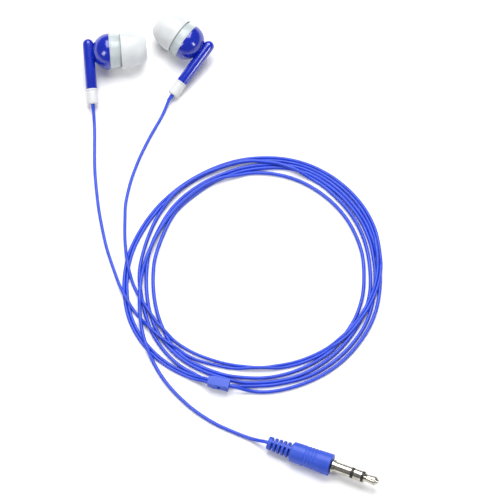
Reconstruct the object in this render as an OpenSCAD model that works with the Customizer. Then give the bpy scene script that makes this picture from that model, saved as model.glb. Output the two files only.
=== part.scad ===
// Wired in-ear earphones lying on a table: two earbuds, two single leads,
// a moulded splitter, a main cord wound in a loose coil, and a 3.5 mm stereo plug.
// Millimetres. +X to the right, +Y away from the person in front of the table, +Z up.
// The origin is on the table, under the middle of the pair of earbuds.

/* [Earbud] */
// Outer radius of the earbud body at its split line
bud_r = 5.9; // [5.7:0.1:6.2]
// Depth of the half-ellipsoid rear cup
cup_depth = 5.6; // [5.4:0.1:6.0]
// Distance of the stem's axis behind the split line
stem_back = 6.6; // [6.4:0.1:6.8]
// Outer radius of the stem
stem_r = 1.8; // [1.7:0.05:1.9]
// Height of the stem's domed top above the nozzle axis
stem_top = 4.6; // [4.2:0.1:5.0]
// Distance from the nozzle axis to the stem's lower end
stem_drop = 11.9; // [11:0.1:12.4]
// Length of the white sleeve under the stem
sleeve_len = 5; // [4:0.5:6]
// Length of the front housing from the split line to its shoulder
front_len = 4; // [3.8:0.1:4.2]
// Outer radius of the sound nozzle
nozzle_r = 2.1; // [1.9:0.05:2.15]
// Distance from the split line to the nozzle's end
nozzle_end = 6.9; // [6.8:0.1:7]

/* [Ear tip] */
// Largest outer radius of the silicone tip
tip_r = 6; // [5.9:0.1:6.4]
// Distance from the split line to the tip's front face
tip_end = 12; // [11.8:0.1:12.4]
// How much further the right tip is pushed onto its nozzle than the left one
right_tip_push = 0.65; // [0.4:0.05:0.75]

/* [Cords] */
// Diameter of each single lead
lead_d = 1; // [0.9:0.05:1.1]
// Diameter of the main cord
main_d = 1.15; // [1.1:0.05:1.25]
// Outer radius of the loose coil
coil_out_r = 43.5; // [43:0.5:45]
// Radius of the coil's empty middle
coil_in_r = 32.2; // [31:0.2:33]
// Height of the coil as it lies
coil_h = 2.4; // [2.4:0.1:3]

/* [Plug] */
// Radius of the plug's contacts
pin_r = 1.75; // [1.75]
// Radius of the moulded boot where it meets the contacts
boot_front_r = 3.6; // [3.5:0.05:3.8]
// Radius of the moulded boot where the ribbed strain relief begins
boot_rear_r = 3.2; // [3:0.05:3.4]
// Length of the whole moulded boot
boot_len = 21.5; // [21:0.1:22.5]
// Length of the ribbed strain relief
relief_len = 8.3; // [8.2:0.1:8.6]

/* [Layout] */
// Direction of the left nozzle, turned from +X
left_heading = 4.8; // [4:0.2:7]
// Direction of the right nozzle, turned from +X
right_heading = 144; // [142:0.5:146]
// Upward tilt of the right nozzle, which lies on the edge of its cup
right_pitch = 5; // [4:0.5:6]
// Direction of the plug, turned from +X
plug_heading = -22; // [-24:0.5:-18]
// Direction of the splitter, turned from +X
splitter_heading = -13.6; // [-16:0.2:-11]

/* [Hidden] */
BUD_PIECES = ["rear_housing", "front_housing", "nozzle_mesh", "ear_tip", "driver_frame",
    "driver_cover", "driver_yoke", "driver_magnet", "driver_plate", "voice_coil", "diaphragm",
    "damping_ring", "terminal_board", "wires", "lead_end", "strain_relief"];
$fn = 64;

blue = [0.16, 0.2, 0.8];
cord_blue = [0.25, 0.38, 0.9];
white = [0.86, 0.91, 0.92];
silicone = [0.93, 0.94, 0.94];
steel = [0.7, 0.71, 0.73];
nickel = [0.8, 0.79, 0.76];
black = [0.05, 0.05, 0.05];
copper = [0.75, 0.42, 0.22];
film = [0.85, 0.8, 0.6];
green = [0.1, 0.4, 0.2];
felt = [0.3, 0.3, 0.3];

// Where each earbud's split line is centred: the ear tip's widest ring touches the table
left_pos = [-12.5, 1.9, tip_r];
right_pos = [12.5, 5.4, bud_r];
// How far each bud is rolled about its nozzle, so that the sleeve's lower end rests on the table
sleeve_lift = 1.93;
left_roll = asin((left_pos[2] - sleeve_lift) / (stem_drop + sleeve_len));
right_roll = 180 - asin((right_pos[2] - stem_back * sin(right_pitch) - sleeve_lift)
    / ((stem_drop + sleeve_len) * cos(right_pitch)));

// The boot rests on its front edge and on the front of its body, so the plug noses up a little
boot_body_len = boot_len - relief_len;
plug_tilt = atan((boot_front_r - boot_rear_r) / boot_body_len);
plug_rear = [38.6, -133.7, boot_rear_r - relief_len * sin(plug_tilt) + 0.02];

// Walls and fits inside an earbud
wall = 0.8;
spigot_r = 5.28;
spigot_len = 1;
spigot_gap = 0.02;
driver_r = 4.9;
driver_gap = 0.02;
driver_stop = 2.78;
stem_bore_r = 1.1;
wire_hole_r = 0.85;
nozzle_bore_r = 1.5;
mesh_r = 1.7;
mesh_seat = 0.4;
barb_r = 2.4;
barb_from = 5.9;
barb_to = 6.4;
tip_gap = 0.05;
tip_rear = 3.7;
grip_rear = 5.1;
grip_front = 7.6;

// Radii of the driver's magnet system, from the middle out
magnet_r = 2.4;
plate_r = 2.55;
coil_in = 2.7;
coil_out = 2.95;
yoke_in = 3.15;
yoke_out = 3.6;
// Depths of the driver's pieces, measured from the split line towards the ear
yoke_back = -2.3;
yoke_floor = -1.8;
magnet_top = -0.3;
plate_top = 0.4;
yoke_top = 0.6;
cover_back = 2.5;
cover_thick = 0.2;

// Radius of the lead inside the stem, and where its knot begins and ends down the stem
lead_r = lead_d / 2;
knot_r = 0.95;
knot_from = 4.5;
knot_to = 7;
sleeve_spigot = 2.5;
sleeve_end = stem_drop + sleeve_len;

// Lengths along the plug, measured from the boot's front face
flange_from = 0.5;
flange_to = 1.3;
flange_r = 2.15;
ring_1_from = 6.9;
ring_1_to = 7.9;
ring_2_from = 10.5;
ring_2_to = 11.4;
pin_end = 16.3;
core_depth = 6;
rod_r = 0.5;
inner_tube_r = 0.8;
ring_tube_r = 1.1;
outer_tube_r = 1.35;

splitter_pos = [22.8, -113, 1.2];
splitter_h = 3;

// ---- Placing ----

module place(pos, heading, pitch, roll) {
    translate(pos)
    rotate([0, 0, heading])
    rotate([0, -pitch, 0])
    rotate([roll, 0, 0])
    children();
}

module at_left() { place(left_pos, left_heading, 0, left_roll) children(); }

module at_right() { place(right_pos, right_heading, right_pitch, right_roll) children(); }

module at_plug() {
    translate(plug_rear)
    rotate([0, 0, plug_heading])
    rotate([0, -plug_tilt, 0])
    children();
}

module at_splitter() {
    translate(splitter_pos)
    rotate([0, 0, splitter_heading])
    children();
}

// Turns a shape made around Z so that it lies along the nozzle
module along_nozzle() { rotate([0, 90, 0]) children(); }

// Turns a shape made around Z so that it hangs down the stem
module down_stem() { translate([-stem_back, 0, 0]) rotate([90, 0, 0]) children(); }

// A ring or disc around the nozzle between two depths
module ring(outer, inner, from, to) {
    along_nozzle()
    translate([0, 0, from])
    difference() {
        cylinder(r = outer, h = to - from);
        if (inner > 0)
            translate([0, 0, -1])
            cylinder(r = inner, h = to - from + 2);
    }
}

// Points of a quarter ellipse from its equator to its pole, behind the split line
function quarter(r, depth) = [for (a = [0:7.5:90]) [r * cos(a), -depth * sin(a)]];

// ---- Earbud pieces, each with the nozzle along +X and the stem along -Y ----

module stem_outside() {
    dome = [for (a = [0:11.25:90]) [stem_r * sin(a), stem_r - stem_top - stem_r * cos(a)]];
    down_stem()
    rotate_extrude()
    polygon(concat(dome, [[stem_r, stem_drop], [0, stem_drop]]));
}

module rear_housing() {
    difference() {
        union() {
            along_nozzle()
            rotate_extrude()
            polygon(concat([[0, 0]], quarter(bud_r, cup_depth)));
            stem_outside();
        }
        along_nozzle()
        rotate_extrude()
        polygon(concat([[0, 1], [bud_r - wall, 1]], quarter(bud_r - wall, cup_depth - wall - 0.2)));
        along_nozzle()
        translate([0, 0, -spigot_len - 0.05])
        cylinder(r = spigot_r + spigot_gap, h = 2);
        down_stem()
        translate([0, 0, -2])
        cylinder(r = stem_bore_r, h = stem_drop + 3);
        along_nozzle()
        translate([0, 0, -stem_back])
        cylinder(r = wire_hole_r, h = 3);
    }
}

module front_housing() {
    bore = driver_r + driver_gap;
    along_nozzle()
    rotate_extrude()
    polygon([
        [bore, -spigot_len], [spigot_r, -spigot_len], [spigot_r, 0], [bud_r, 0],
        [bud_r, 0.3], [bud_r - 0.12, 0.42], [bud_r - 0.2, 1.2], [bud_r - 0.5, 3],
        [bud_r - 0.75, front_len - 0.35], [bud_r - 1.15, front_len],
        [nozzle_r, front_len], [nozzle_r, barb_from], [barb_r, barb_from],
        [barb_r, barb_to], [nozzle_r, nozzle_end - 0.15], [nozzle_r - 0.1, nozzle_end],
        [mesh_r, nozzle_end], [mesh_r, nozzle_end - mesh_seat],
        [nozzle_bore_r, nozzle_end - mesh_seat], [nozzle_bore_r, driver_stop + 0.45],
        [driver_r - 0.4, driver_stop + 0.45], [driver_r - 0.4, driver_stop],
        [bore, driver_stop]]);
}

module nozzle_mesh() { ring(mesh_r, 0, nozzle_end - mesh_seat, nozzle_end - mesh_seat + 0.15); }

module ear_tip() {
    bore = barb_r + tip_gap;
    along_nozzle()
    rotate_extrude()
    polygon([
        [bore, grip_rear], [bore, grip_front], [1.9, grip_front + 0.4],
        [1.9, tip_end - 0.4], [2.05, tip_end - 0.12], [2.4, tip_end],
        [2.9, tip_end], [3.4, tip_end - 0.12], [3.85, tip_end - 0.4], [4.3, tip_end - 0.95],
        [tip_r - 1.2, tip_end - 1.75], [tip_r - 0.7, tip_end - 2.6], [tip_r - 0.33, tip_end - 3.6],
        [tip_r - 0.1, tip_end - 4.9], [tip_r, tip_end - 6.4], [tip_r - 0.02, tip_rear + 0.2],
        [tip_r - 0.12, tip_rear], [tip_r - 0.3, tip_rear], [tip_r - 0.38, tip_rear + 0.3],
        [tip_r - 0.45, tip_end - 6.2], [tip_r - 0.6, tip_end - 4.7], [tip_r - 0.95, tip_end - 3.3],
        [tip_r - 1.6, tip_end - 2.2], [3.75, tip_end - 1.6], [3.05, tip_end - 1.8],
        [3.05, grip_rear + 0.2], [2.9, grip_rear]]);
}

module driver_frame() {
    along_nozzle()
    rotate_extrude()
    polygon([
        [yoke_out, 0.3], [driver_r, 0.3], [driver_r, driver_stop],
        [driver_r - 0.35, driver_stop], [driver_r - 0.35, 0.7], [yoke_out, 0.7]]);
}

module driver_cover() { ring(driver_r - 0.35, 1.8, cover_back, cover_back + cover_thick); }

module driver_yoke() {
    along_nozzle()
    rotate_extrude()
    polygon([
        [0, yoke_back], [yoke_out - 0.3, yoke_back], [yoke_out, yoke_back + 0.3],
        [yoke_out, yoke_top], [yoke_in, yoke_top], [yoke_in, yoke_floor], [0, yoke_floor]]);
}

module driver_magnet() { ring(magnet_r, 0, yoke_floor, magnet_top); }

module driver_plate() { ring(plate_r, 0, magnet_top, plate_top); }

module voice_coil() { ring(coil_out, coil_in, -0.7, 1.2); }

// A thin film: a dome over the voice coil inside a shallow rolled surround
module diaphragm() {
    thick = 0.12;
    base = 1.2;
    dome = [for (a = [90:-15:15]) [coil_out * cos(a), base + 0.75 * (sin(a) - 0.05)]];
    roll = [for (a = [150:-30:30]) [3.7 + 0.6 * cos(a), base + 0.05 + 0.45 * sin(a)]];
    line = concat(dome, [[coil_out, base]], roll, [[4.35, base]]);
    front = [for (p = line) p + [0, thick]];
    back = [for (i = [len(line) - 1:-1:0]) line[i]];
    along_nozzle()
    rotate_extrude()
    polygon(concat(front, back));
}

module damping_ring() { ring(driver_r - 0.3, yoke_out + 0.05, 0.12, 0.3); }

module terminal_board() {
    ring(2.2, 0, yoke_back - 0.4, yoke_back);
    for (side = [-1, 1])
        translate([0, side * 0.9, 0])
        ring(0.5, 0, yoke_back - 0.55, yoke_back - 0.4);
}

// Two enamelled wires from the board's pads, through the cup's hole, to the lead's knot
module wires() {
    wire_r = 0.12;
    start = yoke_back - 0.55;
    for (side = [-1, 1]) {
        pad = [start, side * 0.9, 0];
        hole = [-stem_back, side * 0.3, 0];
        span = hole - pad;
        translate(pad)
        rotate([0, 0, atan2(span[1], span[0])])
        rotate([0, 90, 0])
        cylinder(r = wire_r, h = norm(span), $fn = 16);
        translate([-stem_back, side * 0.3, 0])
        sphere(r = wire_r * 1.2, $fn = 16);
    }
    for (side = [-1, 1])
        translate([-stem_back + side * 0.3, 0, 0])
        rotate([90, 0, 0])
        cylinder(r = wire_r, h = knot_from, $fn = 16);
    translate([-stem_back, 0, 0])
    cube([0.84, 0.84, 0.24], center = true);
}

// The end of the lead inside the stem, with the knot that stops it being pulled out
module lead_end() {
    down_stem()
    rotate_extrude()
    polygon([
        [0, knot_from], [knot_r - 0.35, knot_from], [knot_r, knot_from + 0.5],
        [knot_r, knot_to - 0.5], [lead_r, knot_to], [lead_r, sleeve_end], [0, sleeve_end]]);
}

module strain_relief() {
    plug_r = stem_bore_r - 0.02;
    down_stem()
    rotate_extrude()
    polygon([
        [lead_r, stem_drop - sleeve_spigot], [plug_r, stem_drop - sleeve_spigot],
        [plug_r, stem_drop], [stem_r + 0.05, stem_drop], [stem_r + 0.05, stem_drop + 0.5],
        [stem_r - 0.08, stem_drop + 0.6], [stem_r - 0.08, stem_drop + 0.9],
        [stem_r + 0.03, stem_drop + 1], [stem_r + 0.15, sleeve_end - 0.25],
        [stem_r - 0.05, sleeve_end], [lead_r, sleeve_end]]);
}

// ---- Splitter ----

// Outline of the splitter seen from above, tapered towards the two leads
splitter_outline = [
    [-3.5, -1.1], [-2.9, -1.4], [-1.7, -1.6], [2.9, -1.5], [2.9, -1.7], [3.5, -1.7],
    [3.5, 1.7], [2.9, 1.7], [2.9, 1.5], [-1.7, 1.6], [-2.9, 1.4], [-3.5, 1.1]];
splitter_core_size = [4.4, 2, 1.6];

module splitter_core_block() {
    translate([0, 0, splitter_h / 2])
    cube(splitter_core_size, center = true);
}

module splitter_body() {
    color(cord_blue)
    at_splitter()
    difference() {
        linear_extrude(splitter_h) polygon(splitter_outline);
        splitter_core_block();
        translate([0.4, -1.55, splitter_h / 2])
        rotate([90, 0, 0])
        cylinder(r = 0.6, h = 0.7, center = true);
    }
}

module splitter_core() { color(white) at_splitter() splitter_core_block(); }

// ---- Plug, along +X from the rear end of its boot ----

module around_plug() { at_plug() rotate([0, 90, 0]) children(); }

// A contact or insulator: a collar flush with the pin, on a tube that runs back into the boot
module collar_on_tube(tube_r, bore_r, tube_from, collar_from, collar_to) {
    around_plug()
    translate([0, 0, boot_len])
    rotate_extrude()
    polygon([
        [bore_r, tube_from], [tube_r, tube_from], [tube_r, collar_from],
        [pin_r, collar_from], [pin_r, collar_to], [bore_r, collar_to]]);
}

module plug_boot() {
    slot_pitch = 1.45;
    slot_w = 0.65;
    spine = 0.5;
    neck_r = 1.25;
    color(cord_blue)
    around_plug()
    difference() {
        rotate_extrude()
        polygon([
            [0, 0], [2.05, 0], [2.2, 0.2], [2.6, relief_len - 0.2], [boot_rear_r - 0.25, relief_len - 0.2],
            [boot_rear_r, relief_len], [boot_front_r, boot_len - 0.15],
            [boot_front_r - 0.15, boot_len], [0, boot_len]]);
        for (i = [0:4], side = [-1, 1])
            translate([0, 0, 1.35 + i * slot_pitch])
            intersection() {
                difference() {
                    cylinder(r = 4, h = slot_w);
                    cylinder(r = neck_r, h = slot_w);
                }
                translate([-5, side > 0 ? spine : -5 - spine, 0])
                cube([10, 5, slot_w]);
            }
        translate([0, 0, boot_len - core_depth])
        cylinder(r = 2.2, h = core_depth + 1);
    }
}

// The hard inner moulding that holds the four coaxial contacts in the boot
module plug_core() {
    color(white)
    around_plug()
    translate([0, 0, boot_len])
    rotate_extrude()
    polygon([[0, -core_depth], [2.2, -core_depth], [2.2, 0], [pin_r - 0.15, 0],
        [pin_r - 0.15, flange_from], [outer_tube_r, flange_from], [outer_tube_r, -2], [0, -2]]);
}

module plug_sleeve_contact() {
    color(nickel)
    around_plug()
    translate([0, 0, boot_len])
    rotate_extrude()
    polygon([
        [outer_tube_r, flange_from], [flange_r, flange_from], [flange_r, flange_to],
        [pin_r, flange_to], [pin_r, ring_1_from], [outer_tube_r, ring_1_from]]);
}

module plug_rear_insulator() {
    color(black) collar_on_tube(outer_tube_r, ring_tube_r, -2, ring_1_from, ring_1_to);
}

module plug_ring_contact() {
    color(nickel) collar_on_tube(ring_tube_r, inner_tube_r, -2, ring_1_to, ring_2_from);
}

module plug_front_insulator() {
    color(black) collar_on_tube(inner_tube_r, rod_r, -2, ring_2_from, ring_2_to);
}

module plug_tip_contact() {
    color(nickel)
    around_plug()
    translate([0, 0, boot_len])
    rotate_extrude()
    polygon([
        [0, -2], [rod_r, -2], [rod_r, ring_2_to], [1.65, ring_2_to],
        [1.45, ring_2_to + 0.3], [1.15, ring_2_to + 0.85],
        [1.5, pin_end - 1.3], [1.42, pin_end - 1.1], [0.6, pin_end - 0.15], [0.3, pin_end],
        [0, pin_end]]);
}

// ---- Cords ----

// A point of an earbud's own frame, in the table's frame
function roll_x(p, a) = [p[0], p[1] * cos(a) - p[2] * sin(a), p[1] * sin(a) + p[2] * cos(a)];
function turn_z(p, a) = [p[0] * cos(a) - p[1] * sin(a), p[0] * sin(a) + p[1] * cos(a), p[2]];
function pitch_y(p, a) = [p[0] * cos(a) - p[2] * sin(a), p[1], p[0] * sin(a) + p[2] * cos(a)];
function placed(p, pos, heading, pitch, roll) =
    pos + turn_z(pitch_y(roll_x(p, roll), pitch), heading);

// Where a lead leaves its sleeve, and a point straight on from there
function lead_exit(pos, heading, pitch, roll, out) =
    placed([-stem_back, -sleeve_end - out, 0], pos, heading, pitch, roll);

left_route = concat(
    [for (out = [0, 2.5]) lead_exit(left_pos, left_heading, 0, left_roll, out)],
    [[-16.9, -21, 0.6], [-17, -25.5, 0.5], [-17, -30.5, 0.5], [-17, -35.5, 0.5], [-16.8, -41, 0.5],
    [-16.3, -46.5, 0.5], [-15.6, -51.5, 0.5], [-14.7, -57, 0.5], [-13.7, -62, 0.5],
    [-12.5, -66.5, 0.5], [-11.2, -70.5, 0.6], [-9.9, -74.5, 1], [-8.4, -78.5, 1.7]]);

right_route = concat(
    [for (out = [0, 2.5]) lead_exit(right_pos, right_heading, right_pitch, right_roll, out)],
    [[4.3, -19, 0.6], [2.3, -23, 0.5], [0.4, -27, 0.5], [-1.4, -31, 0.5],
    [-3, -35, 0.5], [-4.5, -39, 0.5], [-5.7, -43, 0.5], [-6.6, -47, 0.5],
    [-7.3, -51, 0.5], [-7.7, -55, 0.6], [-7.8, -58.5, 0.9], [-7.6, -62, 1.5],
    [-7.2, -64.5, 1.8]]);

// The main cord from the coil to the rear of the boot
plug_exit = plug_rear - turn_z([2.5 * cos(plug_tilt), 0, 2.5 * sin(plug_tilt)], plug_heading);
plug_route = [[-1.2, -97, 1.8], [0.2, -100, 1.4], [1.6, -103.5, 0.9], [3.4, -107.2, 0.6],
    [5.7, -110.9, 0.6], [8.5, -114.5, 0.6], [11.4, -117.9, 0.6], [14.6, -121, 0.6],
    [18.1, -123.8, 0.6], [22, -126.3, 0.6], [25.8, -128.2, 0.8], [29.5, -129.9, 1.4],
    [33, -131.4, 2.2], plug_exit, plug_rear];

// One smooth curve through a route's points, with a ring of the tube at every step
function bend(a, b, c, d, t) = 0.5 * (2 * b + (c - a) * t + (2 * a - 5 * b + 4 * c - d) * t * t
    + (3 * b - a - 3 * c + d) * t * t * t);
function smooth(route, steps) = let (last = len(route) - 1) concat(
    [for (i = [0:last - 1], k = [0:steps - 1])
        bend(route[max(i - 1, 0)], route[i], route[i + 1], route[min(i + 2, last)], k / steps)],
    [route[last]]);
function unit(v) = v / norm(v);
function heading_at(path, i) =
    unit(path[min(i + 1, len(path) - 1)] - path[max(i - 1, 0)]);

// A tube swept along a path, kept upright by the table's normal
module tube(path, radius, sides = 8) {
    rings = [for (i = [0:len(path) - 1])
        let (along = heading_at(path, i), across = unit(cross(along, [0, 0, 1])),
            up = cross(across, along))
        [for (s = [0:sides - 1])
            path[i] + radius * (cos(s * 360 / sides + 22.5) * across
                + sin(s * 360 / sides + 22.5) * up)]];
    points = [for (ring = rings, p = ring) p];
    sides_list = [for (i = [0:len(path) - 2], s = [0:sides - 1])
        let (a = i * sides + s, b = i * sides + (s + 1) % sides)
        [a, a + sides, b + sides, b]];
    first = [for (s = [0:sides - 1]) s];
    last = [for (s = [sides - 1:-1:0]) (len(path) - 1) * sides + s];
    polyhedron(points, concat(sides_list, [first, last]), convexity = 10);
}

module left_lead() { color(cord_blue) tube(smooth(left_route, 2), lead_r); }

module right_lead() { color(cord_blue) tube(smooth(right_route, 2), lead_r); }

module plug_cord() { color(cord_blue) tube(smooth(plug_route, 2), main_d / 2); }

// The outer shape of the loose coil: a flat ring, wider on the side where the leads join it
module cord_coil() {
    coil_pos = [34.6, -73.7, 0];
    middle_shift = [1.4, 1.5, -1];
    color(cord_blue)
    translate(coil_pos)
    difference() {
        cylinder(r = coil_out_r, h = coil_h, $fn = 128);
        translate(middle_shift)
        cylinder(r = coil_in_r, h = coil_h + 2, $fn = 128);
    }
}

// ---- One line for each node ----

module bud_piece(piece) {
    if (piece == "rear_housing") color(blue) rear_housing();
    if (piece == "front_housing") color(white) front_housing();
    if (piece == "nozzle_mesh") color(steel) nozzle_mesh();
    if (piece == "ear_tip") color(silicone) ear_tip();
    if (piece == "driver_frame") color(black) driver_frame();
    if (piece == "driver_cover") color(steel) driver_cover();
    if (piece == "driver_yoke") color(steel) driver_yoke();
    if (piece == "driver_magnet") color(nickel) driver_magnet();
    if (piece == "driver_plate") color(steel) driver_plate();
    if (piece == "voice_coil") color(copper) voice_coil();
    if (piece == "diaphragm") color(film) diaphragm();
    if (piece == "damping_ring") color(felt) damping_ring();
    if (piece == "terminal_board") color(green) terminal_board();
    if (piece == "wires") color(copper) wires();
    if (piece == "lead_end") color(cord_blue) lead_end();
    if (piece == "strain_relief") color(white) strain_relief();
}

for (piece = BUD_PIECES)
    at_left() bud_piece(piece);
for (piece = BUD_PIECES)
    at_right()
        translate([piece == "ear_tip" ? -right_tip_push : 0, 0, 0])
        bud_piece(piece);
left_lead();
right_lead();
cord_coil();
plug_cord();
splitter_body();
splitter_core();
plug_boot();
plug_core();
plug_sleeve_contact();
plug_rear_insulator();
plug_ring_contact();
plug_front_insulator();
plug_tip_contact();
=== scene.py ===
"""Looks for a pair of wired in-ear earphones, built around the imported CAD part.

Lengths are in millimetres until the very end of each helper, where MM turns them into the frame's
metres."""

import math

import bmesh
import bpy
import numpy as np
from mathutils import Matrix, Vector


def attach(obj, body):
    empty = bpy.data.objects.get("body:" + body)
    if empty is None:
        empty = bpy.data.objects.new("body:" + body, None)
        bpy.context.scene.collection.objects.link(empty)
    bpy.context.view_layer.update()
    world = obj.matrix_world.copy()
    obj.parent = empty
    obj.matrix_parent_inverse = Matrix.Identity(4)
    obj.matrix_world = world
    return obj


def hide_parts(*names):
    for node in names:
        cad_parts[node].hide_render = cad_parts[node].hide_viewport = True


MM = 0.001
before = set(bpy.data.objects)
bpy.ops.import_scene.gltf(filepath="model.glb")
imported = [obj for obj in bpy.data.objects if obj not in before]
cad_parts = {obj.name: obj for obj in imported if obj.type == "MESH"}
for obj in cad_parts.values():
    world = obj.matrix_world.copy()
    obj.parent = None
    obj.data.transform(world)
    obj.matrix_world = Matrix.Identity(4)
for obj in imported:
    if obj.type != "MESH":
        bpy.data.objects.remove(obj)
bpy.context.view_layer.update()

# ---- Sizes and places shared with the CAD ----

BUD_R = 5.9
CUP_DEPTH = 5.6
STEM_BACK = 6.6
STEM_R = 1.8
STEM_TOP = 4.6
STEM_DROP = 11.9
SLEEVE_END = 16.9
FRONT_LEN = 4.0
NOZZLE_R = 2.1
NOZZLE_END = 6.9
TIP_R = 6.0
TIP_END = 12.0
TIP_REAR = 3.7
RIGHT_TIP_PUSH = 0.65
LEAD_D = 1.0
MAIN_D = 1.15
BOOT_LEN = 21.5
RELIEF_LEN = 8.3
BOOT_FRONT_R = 3.6
BOOT_REAR_R = 3.2
SPLITTER_H = 3.0

CAMERA_UP_ANGLE = 66
CAMERA_FAR = 4000
VIEW_WIDTH = 160
VIEW_MIDDLE = (32.8, -65.4, 0)


def turned(heading, pitch, roll):
    """Roll about +X, then nose up by pitch, then turn by heading: the same order as in the CAD."""
    return (
        Matrix.Rotation(math.radians(heading), 4, "Z")
        @ Matrix.Rotation(math.radians(-pitch), 4, "Y")
        @ Matrix.Rotation(math.radians(roll), 4, "X")
    )


def placed(pos, heading, pitch=0.0, roll=0.0):
    return Matrix.Translation(Vector(pos)) @ turned(heading, pitch, roll)


SLEEVE_LIFT = 1.93
LEFT_ROLL = math.degrees(math.asin((TIP_R - SLEEVE_LIFT) / SLEEVE_END))
RIGHT_PITCH = 5
RIGHT_ROLL = 180 - math.degrees(
    math.asin(
        (BUD_R - STEM_BACK * math.sin(math.radians(RIGHT_PITCH)) - SLEEVE_LIFT)
        / (SLEEVE_END * math.cos(math.radians(RIGHT_PITCH)))
    )
)
AT_LEFT = placed((-12.5, 1.9, TIP_R), 4.8, 0, LEFT_ROLL)
AT_RIGHT = placed((12.5, 5.4, BUD_R), 144, RIGHT_PITCH, RIGHT_ROLL)

PLUG_TILT = math.degrees(math.atan((BOOT_FRONT_R - BOOT_REAR_R) / (BOOT_LEN - RELIEF_LEN)))
PLUG_REAR = (38.6, -133.7, BOOT_REAR_R - RELIEF_LEN * math.sin(math.radians(PLUG_TILT)) + 0.02)
AT_PLUG = placed(PLUG_REAR, -22, PLUG_TILT)
AT_SPLITTER = placed((22.8, -113, 1.2), -13.6)


# ---- Camera ----


def add_camera():
    up = math.radians(CAMERA_UP_ANGLE)
    middle = Vector(VIEW_MIDDLE) * MM
    away = Vector((0, -math.cos(up), math.sin(up)))
    data = bpy.data.cameras.new("view")
    data.sensor_width = 36
    data.lens = data.sensor_width * CAMERA_FAR / VIEW_WIDTH
    data.clip_end = 10
    camera = bpy.data.objects.new("view", data)
    bpy.context.scene.collection.objects.link(camera)
    camera.location = middle + away * CAMERA_FAR * MM
    camera.rotation_euler = (math.pi / 2 - up, 0, 0)
    bpy.context.scene.camera = camera


add_camera()


# ---- Materials ----


class Paint:
    """A small helper for one procedural material."""

    def __init__(self, name):
        self.material = bpy.data.materials.new(name)
        self.material.use_nodes = True
        self.tree = self.material.node_tree
        self.shader = self.tree.nodes["Principled BSDF"]

    def node(self, kind, **inputs):
        made = self.tree.nodes.new(kind)
        for socket, value in inputs.items():
            made.inputs[socket.replace("_", " ")].default_value = value
        return made

    def link(self, a, b):
        self.tree.links.new(a, b)

    def set(self, **inputs):
        for socket, value in inputs.items():
            self.shader.inputs[socket.replace("_", " ")].default_value = value

    def place(self, stretch=(1, 1, 1)):
        """Object coordinates, in metres, stretched along each axis."""
        coords = self.node("ShaderNodeTexCoord")
        mapping = self.node("ShaderNodeMapping")
        mapping.inputs["Scale"].default_value = stretch
        self.link(coords.outputs["Object"], mapping.inputs["Vector"])
        return mapping.outputs["Vector"]

    def noise(self, scale, detail=3.0, stretch=(1, 1, 1)):
        made = self.node("ShaderNodeTexNoise", Scale=scale, Detail=detail)
        self.link(self.place(stretch), made.inputs["Vector"])
        return made.outputs["Fac"]

    def ramp(self, value, *stops):
        made = self.node("ShaderNodeValToRGB")
        while len(made.color_ramp.elements) < len(stops):
            made.color_ramp.elements.new(0.5)
        for element, (at, color) in zip(made.color_ramp.elements, stops):
            element.position = at
            element.color = (*color, 1)
        self.link(value, made.inputs["Fac"])
        return made.outputs["Color"]

    def grey(self, value, low, high, at=(0.3, 0.7)):
        return self.ramp(value, (at[0], (low,) * 3), (at[1], (high,) * 3))

    def bump(self, value, height, strength=1.0):
        made = self.node("ShaderNodeBump", Strength=strength, Distance=height)
        self.link(value, made.inputs["Height"])
        self.link(made.outputs["Normal"], self.shader.inputs["Normal"])


def soft_jacket(name, low, high, rough):
    """A moulded or extruded soft plastic: faint colour drift, fine skin texture."""
    paint = Paint(name)
    drift = paint.noise(260, 2)
    paint.link(paint.ramp(drift, (0.3, low), (0.7, high)), paint.shader.inputs["Base Color"])
    skin = paint.noise(2600, 4)
    paint.link(paint.grey(skin, rough - 0.05, rough + 0.07), paint.shader.inputs["Roughness"])
    paint.bump(skin, 0.00002, 0.35)
    paint.set(Coat_Weight=0.1, Coat_Roughness=0.3)
    return paint.material


def glossy_blue():
    """Tinted, faintly see-through gloss plastic with a polished mould surface."""
    paint = Paint("bud_blue")
    drift = paint.noise(150, 2)
    paint.link(
        paint.ramp(drift, (0.25, (0.001, 0.010, 0.30)), (0.75, (0.003, 0.022, 0.42))),
        paint.shader.inputs["Base Color"],
    )
    fine = paint.noise(1800, 3)
    paint.link(paint.grey(fine, 0.16, 0.22), paint.shader.inputs["Roughness"])
    paint.set(Coat_Weight=0.5, Coat_Roughness=0.1, Subsurface_Weight=0.15, Subsurface_Scale=0.002)
    paint.shader.inputs["Subsurface Radius"].default_value = (0.1, 0.2, 1.0)
    return paint.material


def clear_pale():
    """Translucent, faintly aqua plastic of the front housing."""
    paint = Paint("front_clear")
    drift = paint.noise(180, 2)
    paint.link(
        paint.ramp(drift, (0.3, (0.60, 0.68, 0.70)), (0.7, (0.68, 0.75, 0.77))),
        paint.shader.inputs["Base Color"],
    )
    fine = paint.noise(1500, 3)
    paint.link(paint.grey(fine, 0.14, 0.22), paint.shader.inputs["Roughness"])
    paint.set(Subsurface_Weight=0.4, Subsurface_Scale=0.002, Transmission_Weight=0.3, IOR=1.46)
    paint.shader.inputs["Subsurface Radius"].default_value = (1, 1, 1)
    return paint.material


def silicone_white():
    paint = Paint("tip_silicone")
    drift = paint.noise(220, 2)
    paint.link(
        paint.ramp(drift, (0.3, (0.60, 0.62, 0.63)), (0.7, (0.65, 0.67, 0.68))),
        paint.shader.inputs["Base Color"],
    )
    skin = paint.noise(2400, 4)
    paint.link(paint.grey(skin, 0.38, 0.52), paint.shader.inputs["Roughness"])
    paint.bump(skin, 0.00002, 0.3)
    paint.set(Subsurface_Weight=0.4, Subsurface_Scale=0.002)
    paint.shader.inputs["Subsurface Radius"].default_value = (1, 1, 1)
    return paint.material


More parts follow.
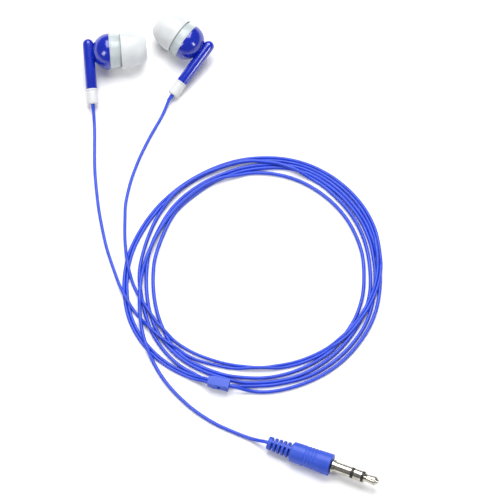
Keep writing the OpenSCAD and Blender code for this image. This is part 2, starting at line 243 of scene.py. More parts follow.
def sleeve_white():
    paint = Paint("sleeve_white")
    drift = paint.noise(300, 2)
    paint.link(
        paint.ramp(drift, (0.3, (0.58, 0.59, 0.60)), (0.7, (0.64, 0.65, 0.66))),
        paint.shader.inputs["Base Color"],
    )
    skin = paint.noise(2200, 4)
    paint.link(paint.grey(skin, 0.4, 0.55), paint.shader.inputs["Roughness"])
    paint.bump(skin, 0.00002, 0.3)
    paint.set(Subsurface_Weight=0.2, Subsurface_Scale=0.0015)
    paint.shader.inputs["Subsurface Radius"].default_value = (1, 1, 1)
    return paint.material


def plated(name, low, high, rough):
    """Turned metal: fine marks round the part and slight wear."""
    paint = Paint(name)
    wear = paint.noise(700, 4)
    paint.link(paint.ramp(wear, (0.35, low), (0.7, high)), paint.shader.inputs["Base Color"])
    marks = paint.noise(1500, 4, (6, 1, 1))
    paint.link(paint.grey(marks, rough - 0.05, rough + 0.1), paint.shader.inputs["Roughness"])
    paint.bump(marks, 0.00001, 0.25)
    paint.set(Metallic=1.0)
    return paint.material


def plain(name, low, high, rough, scale=400.0, metal=0.0):
    paint = Paint(name)
    drift = paint.noise(scale, 3)
    paint.link(paint.ramp(drift, (0.3, low), (0.7, high)), paint.shader.inputs["Base Color"])
    fine = paint.noise(scale * 6, 3)
    paint.link(paint.grey(fine, rough - 0.06, rough + 0.06), paint.shader.inputs["Roughness"])
    paint.bump(fine, 0.00002, 0.3)
    paint.set(Metallic=metal)
    return paint.material


def woven_mesh():
    """Steel gauze over the nozzle: a grid of small holes, with the shade inside them painted dark.
    """
    paint = Paint("nozzle_gauze")
    holes = paint.node("ShaderNodeTexVoronoi", Scale=3800.0)
    paint.link(paint.place(), holes.inputs["Vector"])
    # Painted shade: near-black spots in the base colour stand for the shade seen through the holes.
    painted_hole_shade = paint.ramp(holes.outputs["Distance"], (0.25, (0.02,) * 3), (0.4, (0.6, 0.6, 0.62)))
    paint.link(painted_hole_shade, paint.shader.inputs["Base Color"])
    paint.set(Metallic=0.8, Roughness=0.4)
    return paint.material


CORD = soft_jacket("cord_jacket", (0.008, 0.045, 0.52), (0.014, 0.06, 0.60), 0.42)
MOULDING = soft_jacket("cord_moulding", (0.010, 0.055, 0.48), (0.016, 0.07, 0.54), 0.5)
BLUE = glossy_blue()
CLEAR = clear_pale()
SILICONE = silicone_white()
SLEEVE = sleeve_white()
NICKEL = plated("contact_nickel", (0.40, 0.38, 0.33), (0.56, 0.54, 0.48), 0.16)
STEEL = plated("driver_steel", (0.5, 0.5, 0.52), (0.66, 0.66, 0.68), 0.32)
MAGNET = plated("magnet_nickel", (0.6, 0.6, 0.62), (0.74, 0.74, 0.76), 0.15)
BLACK = plain("insulator_black", (0.003, 0.003, 0.003), (0.008, 0.008, 0.008), 0.5)
COPPER = plain("enamelled_copper", (0.45, 0.16, 0.06), (0.62, 0.26, 0.11), 0.3, 900.0, 1.0)
FILM = plain("diaphragm_film", (0.58, 0.5, 0.3), (0.7, 0.62, 0.4), 0.25)
FELT = plain("damping_felt", (0.05, 0.05, 0.055), (0.11, 0.11, 0.12), 0.9, 1200.0)
BOARD = plain("terminal_laminate", (0.01, 0.1, 0.03), (0.02, 0.15, 0.05), 0.4)
CORE = plain("inner_moulding", (0.6, 0.6, 0.6), (0.7, 0.7, 0.7), 0.5)
GAUZE = woven_mesh()


def paint_node(name, material):
    """Gives a CAD node a better material."""
    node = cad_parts[name]
    if not node.material_slots:
        node.data.materials.append(material)
    for slot in node.material_slots:
        slot.material = material


# ---- Cords: measured routes, settled on the table and on each other ----

# The middle of the coil. A turn is a list of (angle, radius), seen from above and anticlockwise.
# The values are readings, strand by strand. Nothing here works them out.
COIL_MIDDLE = np.array([37.1, -74.1])

LEFT_IN = [
    (175, 48.9), (180, 47.3), (185, 46.2), (190, 45.0), (195, 43.9), (200, 42.6), (205, 41.4),
    (210, 40.5), (215, 39.6), (220, 38.6), (225, 37.9), (230, 37.4), (235, 36.7), (240, 35.8),
    (245, 35.1), (250, 34.7), (255, 34.1), (260, 33.4), (270, 32.9),
]
RIGHT_IN = [
    (155, 48.9), (160, 47.3), (165, 45.9), (170, 44.7), (175, 43.7), (180, 42.8), (185, 41.8),
    (190, 40.8), (195, 39.7), (200, 38.9), (205, 38.3), (210, 37.6), (215, 37.2), (220, 36.7),
    (225, 36.1), (230, 35.5), (235, 34.9), (240, 34.2), (245, 33.8), (250, 33.4), (260, 32.8),
    (270, 32.6),
]
PAIR_TURN = [
    (280, 32.7), (290, 32.8), (300, 33.0), (310, 33.4), (320, 34.0), (330, 34.5), (340, 35.2),
    (350, 36.1), (360, 37.0), (370, 37.5), (380, 38.3), (390, 39.1), (400, 39.6), (410, 40.0),
    (420, 40.4), (430, 40.6), (440, 40.7), (450, 40.5), (460, 40.4), (470, 40.2), (480, 40.1),
    (490, 40.3), (500, 40.7), (510, 41.3), (520, 42.1), (530, 43.2), (540, 44.0), (550, 44.7),
    (560, 45.3), (570, 45.2), (580, 44.6), (590, 43.5), (600, 42.6),
]
MAIN_TURNS = [
    [
        (270, 41.2), (280, 40.7), (290, 40.2), (300, 39.8), (310, 39.4), (320, 38.9),
        (330, 38.6), (340, 38.2), (350, 37.7), (360, 37.4), (370, 36.9), (380, 37.2), (390, 37.5),
        (400, 37.7), (410, 38.3), (420, 38.9), (430, 39.3), (440, 39.0), (450, 38.3), (460, 37.9),
        (480, 37.4), (500, 37.4), (520, 37.2), (530, 37.4), (540, 37.5), (550, 37.9), (560, 38.7),
        (570, 39.4), (580, 39.6), (590, 39.3), (600, 38.8), (610, 38.3),
    ],
    [
        (260, 38.5), (270, 38.0), (280, 37.5), (290, 37.1), (300, 36.4), (310, 35.9), (320, 35.4),
        (330, 35.1), (340, 34.9), (350, 34.7), (360, 34.2), (370, 34.2), (380, 34.5), (390, 34.9),
        (400, 35.3), (410, 35.8), (420, 36.7), (430, 37.4), (440, 38.5), (450, 39.3), (460, 39.8),
        (480, 39.8), (490, 40.0), (500, 39.9), (510, 39.5), (520, 39.2), (530, 39.3), (540, 39.8),
        (555, 40.0), (565, 40.6), (570, 41.1), (580, 41.5), (590, 41.7), (600, 41.3), (605, 41.2),
    ],
    [
        (255, 40.4), (260, 39.7), (265, 39.0), (275, 38.7), (290, 38.5), (300, 38.1), (310, 37.7),
        (320, 37.3), (330, 37.1), (340, 36.6), (350, 36.0), (360, 35.8), (370, 35.7), (380, 36.2),
        (390, 36.5), (400, 36.8), (410, 37.2), (420, 37.7), (430, 38.2), (440, 38.0), (450, 37.4),
        (460, 36.8), (470, 36.3), (480, 35.9), (500, 35.8), (510, 35.3), (530, 35.2), (540, 35.3),
        (550, 35.7), (560, 36.4), (567, 37.0), (573, 37.6), (580, 38.3), (590, 38.8), (600, 38.0),
        (610, 37.5),
    ],
    [
        (260, 36.6), (270, 36.3), (280, 35.7), (290, 35.2), (300, 34.7), (310, 34.4), (330, 33.2),
        (340, 32.8), (350, 32.5), (370, 32.4), (380, 32.5), (390, 32.8), (400, 33.2), (410, 33.6),
        (420, 34.1), (430, 34.7), (440, 35.2), (450, 35.6), (460, 35.9), (480, 36.3), (500, 36.3),
        (510, 36.4), (520, 36.8), (530, 37.6), (540, 38.9), (550, 40.2), (560, 42.0), (565, 43.1),
        (570, 44.3), (575, 45.3), (580, 46.4), (585, 47.6), (590, 48.8), (595, 49.9),
    ],
]

# The stretches outside the coil, as (x, y) on the table. They are measured points. They lie near
# the CAD's routes but don't repeat them.
LEFT_OUT = [
    (-17.2, -20.5), (-17.1, -25.3), (-17.1, -30.2), (-17.1, -35.5), (-16.8, -40.8), (-16.3, -46),
    (-15.7, -51.3), (-14.8, -56.5), (-13.8, -61.8), (-12.8, -66),
]
RIGHT_OUT = [
    (5.3, -16.8), (4.0, -19.6), (2.4, -22.5), (0.9, -25.3), (-0.4, -28.1), (-1.7, -30.9),
    (-2.9, -33.7), (-3.9, -36.6), (-4.9, -39.4), (-5.7, -42.2), (-6.3, -45), (-6.9, -47.8),
    (-7.3, -50.5),
]
PLUG_OUT = [
    (11.2, -117.9), (14.4, -121), (18.1, -123.8), (21.9, -126.3), (25.8, -128.2), (29.6, -129.9),
    (33.4, -131.5),
]


def polar(turn):
    angles = np.radians([a for a, r in turn])
    radii = np.array([r for a, r in turn])
    return COIL_MIDDLE + (np.array([np.cos(angles), np.sin(angles)]) * radii).T


def spline(points, step):
    """A smooth curve through the points, in steps of about that length."""
    p = np.array(points, float)
    knots = np.concatenate([[0], np.cumsum(np.linalg.norm(np.diff(p, axis=0), axis=1))])
    count = max(2, int(round(knots[-1] / step)))
    at = np.linspace(0, knots[-1], count + 1)
    before = np.vstack([2 * p[0] - p[1], p, 2 * p[-1] - p[-2]])
    span = np.concatenate([[knots[1]], np.diff(knots), [knots[-1] - knots[-2]]])
    slopes = (before[2:] - before[:-2]) / (span[:-1] + span[1:])[:, None]
    i = np.clip(np.searchsorted(knots, at, "right") - 1, 0, len(p) - 2)
    h = (knots[i + 1] - knots[i])[:, None]
    t = ((at - knots[i]) / (knots[i + 1] - knots[i]))[:, None]
    return (
        (1 + 2 * t) * (1 - t) ** 2 * p[i]
        + t * (1 - t) ** 2 * h * slopes[i]
        + t * t * (3 - 2 * t) * p[i + 1]
        + t * t * (t - 1) * h * slopes[i + 1]
    )


def pair_gap(angle):
    """How far each of the two leads lies from the middle of the pair."""
    at = [280, 330, 370, 420, 470, 520, 560, 600]
    return np.interp(angle, at, [0.4, 0.4, 0.5, 0.5, 0.35, 0.45, 0.5, 0.5])


def pair_side(side):
    return [(a, r + side * float(pair_gap(a))) for a, r in PAIR_TURN]


STEP = 1.4
LIE = 0.6
SLEEVE_AXIS = Vector((-STEM_BACK, -SLEEVE_END, 0))


def lead_start(place):
    """The first points of a lead, straight on from its sleeve."""
    return [tuple(place @ (SLEEVE_AXIS + Vector((0, -out, 0)))) for out in (0, 1, 2)]


def route(start, flat, end):
    """A route's points in three dimensions: given ends, and a flat middle at the height LIE."""
    return [tuple(p) for p in start] + [(x, y, LIE) for x, y in flat] + [tuple(p) for p in end]


SPLIT_MIDDLE = 1.5
split_in = [AT_SPLITTER @ Vector((-3.2, side * 0.5, SPLIT_MIDDLE)) for side in (1, -1)]
split_out = [AT_SPLITTER @ Vector((x, 0, SPLIT_MIDDLE)) for x in (3.2, 4.8)]
boot_in = [AT_PLUG @ Vector((x, 0, 0)) for x in (-2.5, 0.6)]

LEFT_ROUTE = route(
    lead_start(AT_LEFT),
    [*LEFT_OUT, *polar(LEFT_IN), *polar(pair_side(1))[:-1]],
    split_in[1:],
)
RIGHT_ROUTE = route(
    lead_start(AT_RIGHT),
    [*RIGHT_OUT, *polar(RIGHT_IN), *polar(pair_side(-1))[:-1]],
    split_in[:1],
)
MAIN_ROUTE = route(
    split_out, [p for turn in MAIN_TURNS for p in polar(turn)] + PLUG_OUT, boot_in
)


COIL_REACH = 52
# Degrees round the coil past which the main cord lies over all else, on its way to the plug
PLUG_LEG_FROM = 1344
TOP_LEVEL = 9
# A lead's level in the coil: at first, and past each number of degrees
FIRST_LEVEL = {"left": 6.5, "right": 6.0}
LEAD_LEVELS = [(275, 5), (405, -1), (510, 0.2), (582, 3)]


def levels(points, kind):
    """Which cord lies on which where two cross: the higher level goes over the lower."""
    d = points[:, :2] - COIL_MIDDLE
    angle = np.degrees(np.arctan2(d[:, 1], d[:, 0])) % 360
    inside = np.linalg.norm(d, axis=1) < COIL_REACH
    travelled = np.degrees(np.unwrap(np.radians(angle)))
    if kind == "main":
        turned_by = travelled - travelled[0]
        turn = np.clip(turned_by / 360, 0, 4)
        level = np.where(turn < 1, 0.0, np.where(turn < 2, 1.0, np.where(turn < 3, 0.5, 2.0)))
        level[turned_by > PLUG_LEG_FROM] = TOP_LEVEL
        return level
    first = np.argmax(inside)
    turned_by = travelled - travelled[first] + angle[first]
    level = np.full(len(points), FIRST_LEVEL[kind])
    for past, value in LEAD_LEVELS:
        level[turned_by > past] = value
    return level


ROUNDS = 420
PAIRS_EVERY = 12
START_HELD = 3
END_HELD = 2
LIFT_PER_LEVEL = 0.12
NEAR = 2.2
OWN_NEIGHBOURS = 6
FALL = 0.03
STIFFNESS = np.array([0.2, 0.2, 0.45])
HOME_PULL = 0.06
CROSSING_SHARE = 0.7
TABLE_GAP = 0.02
# The room round the splitter, from its middle, in which the main cord is kept below it
SPLITTER_ROOM = (4.4, 3, 4)
MAIN_STRAND = 2
MAIN_LEAVES = 20


def settle(paths, kinds, diameters):
    """Lets the cords come to rest: none in another, none in the table, each near its route."""
    p = np.vstack(paths)
    home = p.copy()
    n = len(p)
    strand = np.concatenate([np.full(len(q), i) for i, q in enumerate(paths)])
    radius = np.concatenate([np.full(len(q), d / 2) for q, d in zip(paths, diameters)])
    index = np.concatenate([np.arange(len(q)) for q in paths])
    level = np.concatenate([levels(q, k) for q, k in zip(paths, kinds)])
    fixed = np.zeros(n, bool)
    starts = np.cumsum([0] + [len(q) for q in paths])
    for a, b in zip(starts[:-1], starts[1:]):
        fixed[a : a + START_HELD] = True
        fixed[b - END_HELD : b] = True
    inner = np.ones(n, bool)
    inner[starts[:-1]] = False
    inner[starts[1:] - 1] = False
    loose = inner & ~fixed
    p[:, 2] = np.where(fixed, p[:, 2], radius + LIFT_PER_LEVEL * np.clip(level, 0, TOP_LEVEL))
    to_splitter = np.array(AT_SPLITTER.inverted())
    weight = np.where(fixed, 0.0, 1.0)
    for k in range(ROUNDS):
        if k % PAIRS_EVERY == 0:
            flat = p[:, :2]
            gap = np.linalg.norm(flat[:, None] - flat[None], axis=2)
            near = gap < NEAR
            same = strand[:, None] == strand[None]
            near &= ~(same & (np.abs(index[:, None] - index[None]) < OWN_NEIGHBOURS))
            i, j = np.nonzero(np.triu(near, 1))
            over = np.sign(level[i] - level[j])
        # Gravity, then stiffness, then the pull of the measured route
        p[loose, 2] -= FALL
        middle = (p[np.flatnonzero(inner) - 1] + p[np.flatnonzero(inner) + 1]) / 2
        ease = np.zeros_like(p)
        ease[inner] = middle - p[inner]
        p[loose] += ease[loose] * STIFFNESS
        p[loose, :2] += HOME_PULL * (home[loose, :2] - p[loose, :2])
        for _ in range(2):
            d = p[i] - p[j]
            flat_gap = np.linalg.norm(d[:, :2], axis=1)
            least = radius[i] + radius[j]
            crossing = (over != 0) & (flat_gap < CROSSING_SHARE * least)
            rise = np.sqrt(np.maximum(least**2 - flat_gap**2, 0))
            push = np.zeros_like(d)
            lack = rise - over * d[:, 2]
            push[:, 2] = np.where(crossing & (lack > 0), over * lack, 0)
            length = np.linalg.norm(d, axis=1) + 1e-9
            short = np.where(~crossing, np.maximum(least - length, 0), 0)
            push += d / length[:, None] * short[:, None]
            share = weight[i] + weight[j] + 1e-9
            move = np.zeros_like(p)
            hits = np.zeros(n)
            np.add.at(move, i, push * (weight[i] / share)[:, None])
            np.add.at(move, j, -push * (weight[j] / share)[:, None])
            np.add.at(hits, i, np.any(push != 0, axis=1))
            np.add.at(hits, j, np.any(push != 0, axis=1))
            p += move / np.maximum(hits, 1)[:, None]
            local = p @ to_splitter[:3, :3].T + to_splitter[:3, 3]
            away = np.abs(local - [0, 0, SPLIT_MIDDLE])
            under = loose & np.all(away < SPLITTER_ROOM, axis=1) & (level >= 0) & (level < 5)
            under &= (strand == MAIN_STRAND) & (index > MAIN_LEAVES)
            p[under, 2] = np.minimum(p[under, 2], radius[under] + TABLE_GAP)
            p[loose, 2] = np.maximum(p[loose, 2], radius[loose])
    return [p[a:b] for a, b in zip(starts[:-1], starts[1:])]


def cord_curve(name, points, diameter, material):
    data = bpy.data.curves.new(name, "CURVE")
    data.dimensions = "3D"
    data.bevel_depth = diameter / 2 * MM
    data.bevel_resolution = 5
    data.use_fill_caps = True
    line = data.splines.new("NURBS")
    line.points.add(len(points) - 1)
    for point, place in zip(line.points, points):
        point.co = (*(float(c) * MM for c in place), 1)
    line.use_endpoint_u = True
    line.order_u = 3
    line.resolution_u = 2
    data.materials.append(material)
    made = bpy.data.objects.new(name, data)
    bpy.context.scene.collection.objects.link(made)
    return made


cord_paths = settle(
    [spline(r, STEP) for r in (LEFT_ROUTE, RIGHT_ROUTE, MAIN_ROUTE)],
    ["left", "right", "main"],
    [LEAD_D, LEAD_D, MAIN_D],
)
left_cord = cord_curve("left_lead_cord", cord_paths[0], LEAD_D, CORD)
right_cord = cord_curve("right_lead_cord", cord_paths[1], LEAD_D, CORD)
main_cord = cord_curve("main_cord", cord_paths[2], MAIN_D, CORD)
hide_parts("left_lead")
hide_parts("right_lead")
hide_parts("plug_cord", "cord_coil")


# ---- Meshes ----


def rounded(corners, steps=5):
    """A profile whose corners (r, x, fillet) become arcs."""
    out = []
    for i, (r, x, fillet) in enumerate(corners):
        here = np.array([r, x], float)
        if fillet == 0 or i in (0, len(corners) - 1):
            out.append(tuple(here))
            continue
        a = np.array(corners[i - 1][:2], float) - here
        b = np.array(corners[i + 1][:2], float) - here
        la, lb = np.linalg.norm(a), np.linalg.norm(b)
        cut = min(fillet, la * 0.48, lb * 0.48)
        start, stop = here + a / la * cut, here + b / lb * cut
        for t in np.linspace(0, 1, steps):
            out.append(tuple((1 - t) ** 2 * start + 2 * t * (1 - t) * here + t * t * stop))
    return out


def add_mesh(name, verts, faces, material, place=None):
    data = bpy.data.meshes.new(name)
    data.from_pydata([tuple(v) for v in verts], [], faces)
    data.materials.append(material)
    if place is not None:
        data.transform(place)
    data.transform(Matrix.Scale(MM, 4))
    data.update()
    made = bpy.data.objects.new(name, data)
    bpy.context.scene.collection.objects.link(made)
    return made


def lathe_parts(profile, count=72):
    """Vertices and faces of a closed profile (r, x) turned about +X. With r = 0 it is a pole."""
    verts, rings, faces = [], [], []
    for r, x in profile:
        if r <= 1e-6:
            rings.append([len(verts)] * count)
            verts.append((x, 0.0, 0.0))
            continue
        rings.append(list(range(len(verts), len(verts) + count)))
        for k in range(count):
            a = 2 * math.pi * k / count
            verts.append((x, r * math.cos(a), r * math.sin(a)))
    for a, b in zip(rings, rings[1:]):
        for k in range(count):
            quad = [a[k], a[(k + 1) % count], b[(k + 1) % count], b[k]]
            face = list(dict.fromkeys(quad))
            if len(face) > 2:
                faces.append(face)
    return verts, faces


def lathe(name, profile, material, place, count=72):
    verts, faces = lathe_parts(profile, count)
    made = add_mesh(name, verts, faces, material, place)
    tidy(made)
    return made


def tidy(made, angle=38):
    """Welds, points the faces outwards and shades smooth except at sharp edges."""
    work = bmesh.new()
    work.from_mesh(made.data)
    bmesh.ops.remove_doubles(work, verts=work.verts, dist=1e-7)
    bmesh.ops.recalc_face_normals(work, faces=work.faces)
    for face in work.faces:
        face.smooth = True
    for edge in work.edges:
        if len(edge.link_faces) == 2 and edge.calc_face_angle(0) > math.radians(angle):
            edge.smooth = False
    work.to_mesh(made.data)
    work.free()
    made.data.update()


def join(name, pieces):
    """Several meshes as one object."""
    work = bmesh.new()
    for piece in pieces:
        work.from_mesh(piece.data)
    data = bpy.data.meshes.new(name)
    work.to_mesh(data)
    work.free()
    data.materials.append(pieces[0].data.materials[0])
    for piece in pieces:
        bpy.data.objects.remove(piece)
    made = bpy.data.objects.new(name, data)
    bpy.context.scene.collection.objects.link(made)
    tidy(made)
    return made


DOWN_STEM = Matrix.Translation((-STEM_BACK, 0, 0)) @ Matrix.Rotation(-math.pi / 2, 4, "Z")


def quarter(r, depth, steps=22):
    return [
        (r * math.cos(a), -depth * math.sin(a)) for a in np.linspace(0, math.pi / 2, steps)
    ]


def cup(name, place):
    """The rear cup with its stem: a thin shell with a rolled rim, and a domed tube beside it."""
    wall = 0.8
    inside = quarter(BUD_R - wall, CUP_DEPTH - wall - 0.2)[::-1]
    shell = quarter(BUD_R, CUP_DEPTH)
    rim = [(BUD_R - wall, 0.0), (BUD_R - 0.1, 0.0), (BUD_R - 0.03, -0.03)]
    body = lathe("cup", inside + rim + shell[1:], BLUE, place, 96)
    dome = [
        (STEM_R * math.sin(a), -STEM_TOP + STEM_R * (1 - math.cos(a)))
        for a in np.linspace(0, math.pi / 2, 14)
    ]
    bore = 1.1
    tube = dome + rounded([
        (STEM_R, -2, 0), (STEM_R, STEM_DROP, 0.12), (bore, STEM_DROP, 0.05), (bore, -2, 0),
        (0, -2, 0),
    ])
    stem = lathe("stem", tube, BLUE, place @ DOWN_STEM, 64)
    return join(name, [body, stem])


def front(name, place):
    bore = 4.92
    profile = rounded([
        (bore, -1, 0), (5.28, -1, 0.05), (5.28, 0, 0), (BUD_R, 0.0, 0.08), (BUD_R, 0.32, 0.1),
        (BUD_R - 0.14, 0.5, 0.1), (BUD_R - 0.2, 1.2, 0.5), (BUD_R - 0.5, 3, 0.7),
        (BUD_R - 0.85, FRONT_LEN, 0.5), (NOZZLE_R, FRONT_LEN, 0.3), (NOZZLE_R, 5.9, 0.1),
        (2.4, 5.9, 0.1), (2.4, 6.4, 0.15), (NOZZLE_R - 0.1, NOZZLE_END, 0.15),
        (1.7, NOZZLE_END, 0.03), (1.7, NOZZLE_END - 0.4, 0), (1.5, NOZZLE_END - 0.4, 0),
        (1.5, 3.23, 0), (4.5, 3.23, 0), (4.5, 2.78, 0), (bore, 2.78, 0), (bore, -1, 0),
    ])
    return lathe(name, profile, CLEAR, place, 96)


def ear_tip(name, place):
    bore = 2.45
    profile = rounded([
        (2.9, 5.1, 0), (bore, 5.1, 0.1), (bore, 7.6, 0.2), (1.9, 8.0, 0.2),
        (1.9, TIP_END - 0.3, 0.3),
        (2.4, TIP_END, 0.3), (3.0, TIP_END + 0.02, 0.4), (3.75, TIP_END - 0.3, 0.5),
        (4.45, TIP_END - 1.15, 0.6), (5.15, TIP_END - 2.3, 0.8), (5.6, TIP_END - 3.6, 0.9),
        (5.88, TIP_END - 5.1, 1.0), (TIP_R, TIP_END - 6.6, 1.0), (TIP_R, TIP_REAR + 0.35, 0.5),
        (TIP_R - 0.1, TIP_REAR, 0.15), (TIP_R - 0.35, TIP_REAR, 0.12),
        (TIP_R - 0.4, TIP_REAR + 0.5, 0.3),
        (TIP_R - 0.45, 5.8, 0.8), (TIP_R - 0.62, 7.3, 0.8), (TIP_R - 0.97, 8.7, 0.7),
        (TIP_R - 1.6, 9.8, 0.6), (3.75, 10.4, 0.5), (3.05, 10.2, 0.4), (3.05, 5.3, 0.2),
        (2.9, 5.1, 0),
    ])
    return lathe(name, profile, SILICONE, place, 96)


def sleeve(name, place):
    top = STEM_DROP
    profile = rounded([
        (0.5, top - 2.5, 0), (1.08, top - 2.5, 0.05), (1.08, top, 0), (1.85, top, 0.08),
        (1.85, top + 0.5, 0.12), (1.7, top + 0.6, 0.06), (1.7, top + 0.9, 0.06),
        (1.84, top + 1.0, 0.1), (1.95, SLEEVE_END - 0.05, 0.45), (1.0, SLEEVE_END, 0.3),
        (0.55, SLEEVE_END - 0.08, 0.05), (0.5, SLEEVE_END - 0.4, 0), (0.5, top - 2.5, 0),
    ])
    return lathe(name, profile, SLEEVE, place @ DOWN_STEM, 64)


def exit_taper(name, place):
    """Where the lead leaves its sleeve it is a little thicker, then tapers to its own size."""
    profile = rounded([
        (0.5, SLEEVE_END - 1.0, 0), (0.66, SLEEVE_END - 0.6, 0.1), (0.66, SLEEVE_END + 0.7, 0.6),
        (0.56, SLEEVE_END + 1.6, 0.6), (0.5, SLEEVE_END + 2.4, 0),
    ])
    return lathe(name, profile, CORD, place @ DOWN_STEM, 32)


for side, place, push in (("left", AT_LEFT, 0), ("right", AT_RIGHT, RIGHT_TIP_PUSH)):
    piece = cup(f"{side}_cup_and_stem", place)
    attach(piece, "set")
    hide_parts(f"{side}_rear_housing")
    piece = front(f"{side}_front_shell", place)
    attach(piece, "set")
    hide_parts(f"{side}_front_housing")
    piece = ear_tip(f"{side}_soft_tip", place @ Matrix.Translation((-push, 0, 0)))
    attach(piece, f"{side}_tip")
    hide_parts(f"{side}_ear_tip")
    piece = sleeve(f"{side}_sleeve", place)
    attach(piece, "set")
    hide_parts(f"{side}_strain_relief")
    piece = exit_taper(f"{side}_exit_taper", place)
    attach(piece, "set")
    for node, material in (
        ("nozzle_mesh", GAUZE), ("driver_frame", BLACK), ("driver_cover", STEEL),
        ("driver_yoke", STEEL), ("driver_magnet", MAGNET), ("driver_plate", STEEL),
        ("voice_coil", COPPER), ("diaphragm", FILM), ("damping_ring", FELT),
        ("terminal_board", BOARD), ("wires", COPPER), ("lead_end", CORD),
    ):
        paint_node(f"{side}_{node}", material)


def cut(made, cutter):
    """Takes the cutter's shape out of a mesh."""
    change = made.modifiers.new("cut", "BOOLEAN")
    change.operation = "DIFFERENCE"
    change.object = cutter
    graph = bpy.context.evaluated_depsgraph_get()
    data = bpy.data.meshes.new_from_object(made.evaluated_get(graph))
    made.modifiers.clear()
    made.data = data
    bpy.data.objects.remove(cutter)


# The rounding of the splitter's edges, in metres, since its mesh is already scaled
SPLITTER_EDGE = 0.0003


def splitter(name):
    outline = [
        (-3.5, -1.1), (-2.9, -1.4), (-1.7, -1.6), (2.9, -1.5), (2.9, -1.7), (3.5, -1.7),
        (3.5, 1.7), (2.9, 1.7), (2.9, 1.5), (-1.7, 1.6), (-2.9, 1.4), (-3.5, 1.1),
    ]
    count = len(outline)
    verts = [(x, y, z) for z in (0, SPLITTER_H) for x, y in outline]
    faces = [list(range(count))[::-1], list(range(count, 2 * count))]
    faces += [[i, (i + 1) % count, (i + 1) % count + count, i + count] for i in range(count)]
    made = add_mesh(name, verts, faces, MOULDING, AT_SPLITTER)
    work = bmesh.new()
    work.from_mesh(made.data)
    bmesh.ops.bevel(
        work, geom=list(work.edges), offset=SPLITTER_EDGE, segments=3, profile=0.6, affect="EDGES",
        clamp_overlap=True,
    )
    work.to_mesh(made.data)
    work.free()
    dimple = lathe("dimple", [(0, -0.35), (0.6, -0.35), (0.6, 0.35), (0, 0.35)], MOULDING,
                   AT_SPLITTER @ Matrix.Translation((0.4, -1.55, SPLITTER_H / 2))
                   @ Matrix.Rotation(math.pi / 2, 4, "Z"), 32)
    cut(made, dimple)
    tidy(made, 50)
    return made


GRIP_RINGS = 4
GRIP_FIRST = 4.6
GRIP_PITCH = 1.1
GRIP_DEPTH = 0.12
PIN_HOLE_R = 1.62
SLOTS = 5
SLOT_FIRST = 1.35
SLOT_PITCH = 1.45
SLOT_WIDTH = 0.65
RIB_REAR_R = 2.15
RIB_GROWTH = 0.45


def boot(name):
    """The moulded boot: a barrel with faint grip rings, and a ribbed relief on a spine."""
    neck = 1.25
    front_face = BOOT_LEN
    rings = []
    for k in range(GRIP_RINGS):
        mid = RELIEF_LEN + GRIP_FIRST + k * GRIP_PITCH
        share = (BOOT_FRONT_R - BOOT_REAR_R) * (mid - RELIEF_LEN) / (BOOT_LEN - RELIEF_LEN)
        r = BOOT_REAR_R + share
        rings += [
            (r, mid - 0.3, 0.1), (r - GRIP_DEPTH, mid - 0.15, 0.1),
            (r - GRIP_DEPTH, mid + 0.15, 0.1), (r, mid + 0.3, 0.1),
        ]
    rear = [
        (0, RELIEF_LEN - 0.2, 0), (BOOT_REAR_R - 0.3, RELIEF_LEN - 0.2, 0.1),
        (BOOT_REAR_R, RELIEF_LEN, 0.25),
    ]
    nose = [
        (BOOT_FRONT_R, front_face - 0.1, 0.3), (BOOT_FRONT_R - 0.2, front_face, 0.15),
        (PIN_HOLE_R, front_face, 0), (PIN_HOLE_R, front_face - 1.0, 0), (0, front_face - 1.0, 0),
    ]
    pieces = [lathe("barrel", rounded(rear + rings + nose), MOULDING, AT_PLUG, 72)]
    edges = [0.0]
    for i in range(SLOTS):
        edges += [SLOT_FIRST + i * SLOT_PITCH, SLOT_FIRST + i * SLOT_PITCH + SLOT_WIDTH]
    edges.append(RELIEF_LEN)
    for start, stop in zip(edges[::2], edges[1::2]):
        r0 = RIB_REAR_R + RIB_GROWTH * start / RELIEF_LEN
        r1 = RIB_REAR_R + RIB_GROWTH * stop / RELIEF_LEN
        rib = rounded([(0, start, 0), (r0, start, 0.16), (r1, stop, 0.16), (0, stop, 0)], 4)
        pieces.append(lathe("rib", rib, MOULDING, AT_PLUG, 56))
    core = [(0, 0.3), (neck, 0.3), (neck, RELIEF_LEN), (0, RELIEF_LEN)]
    pieces.append(lathe("core", core, MOULDING, AT_PLUG, 40))
    for side in (-1, 1):
        low, high = 0.5, 2.05
        verts = []
        for x, top in ((0.1, high), (RELIEF_LEN, high + 0.42)):
            verts += [
                (x, -0.45, side * low), (x, 0.45, side * low), (x, 0.38, side * top),
                (x, -0.38, side * top),
            ]
        faces = [[0, 1, 2, 3], [7, 6, 5, 4], [0, 4, 5, 1], [1, 5, 6, 2], [2, 6, 7, 3], [3, 7, 4, 0]]
        pieces.append(add_mesh("spine", verts, faces, MOULDING, AT_PLUG))
    return join(name, pieces)


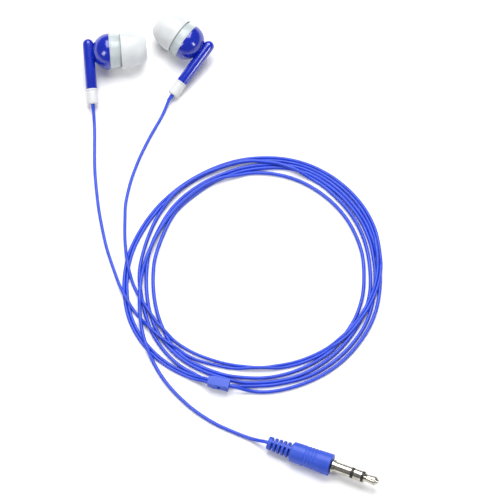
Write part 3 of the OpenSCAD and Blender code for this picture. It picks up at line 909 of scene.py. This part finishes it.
split_piece = splitter("splitter_moulding")
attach(split_piece, "set")
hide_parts("splitter_body")
boot_piece = boot("plug_boot_moulding")
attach(boot_piece, "set")
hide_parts("plug_boot")
paint_node("splitter_core", CORE)
paint_node("plug_core", BLACK)
for node in ("plug_sleeve_contact", "plug_ring_contact", "plug_tip_contact"):
    paint_node(node, NICKEL)
for node in ("plug_rear_insulator", "plug_front_insulator"):
    paint_node(node, BLACK)

for piece in (left_cord, right_cord, main_cord):
    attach(piece, "set")


# ---- Table and light ----


def add_table():
    data = bpy.data.meshes.new("table")
    half = 2.5
    data.from_pydata(
        [(-half, -half, 0), (half, -half, 0), (half, half, 0), (-half, half, 0)], [], [(0, 1, 2, 3)]
    )
    made = bpy.data.objects.new("table", data)
    bpy.context.scene.collection.objects.link(made)
    paint = Paint("table_white")
    painted_hole_shade = paint.noise(14, 2)
    paint.link(
        paint.ramp(painted_hole_shade, (0.3, (0.93, 0.93, 0.93)), (0.7, (0.95, 0.95, 0.95))),
        paint.shader.inputs["Base Color"],
    )
    paint.set(Roughness=0.9)
    data.materials.append(paint.material)


LIGHT_TARGET = (0.015, -0.04, 0)
WORLD_STRENGTH = 0.24


def softbox(name, toward, distance, size, power):
    """A rectangular area light in a direction from the buds, facing them."""
    data = bpy.data.lights.new(name, "AREA")
    data.shape = "RECTANGLE"
    data.size, data.size_y = size
    data.energy = power
    made = bpy.data.objects.new(name, data)
    bpy.context.scene.collection.objects.link(made)
    direction = Vector(toward).normalized()
    made.location = Vector(LIGHT_TARGET) + direction * distance
    made.rotation_euler = direction.to_track_quat("Z", "Y").to_euler()


add_table()
world = bpy.data.worlds.new("studio")
bpy.context.scene.world = world
world.use_nodes = True
world.node_tree.nodes["Background"].inputs["Color"].default_value = (1, 1, 1, 1)
world.node_tree.nodes["Background"].inputs["Strength"].default_value = WORLD_STRENGTH
softbox("overhead", (0.02, 0.5, 1), 1.2, (1.0, 1.0), 20)
softbox("left_window", (-0.65, -0.45, 0.62), 0.7, (0.22, 0.3), 1.6)
softbox("right_window", (0.74, -0.48, 0.47), 0.7, (0.10, 0.3), 1.2)
bpy.context.scene.view_settings.view_transform = "Standard"
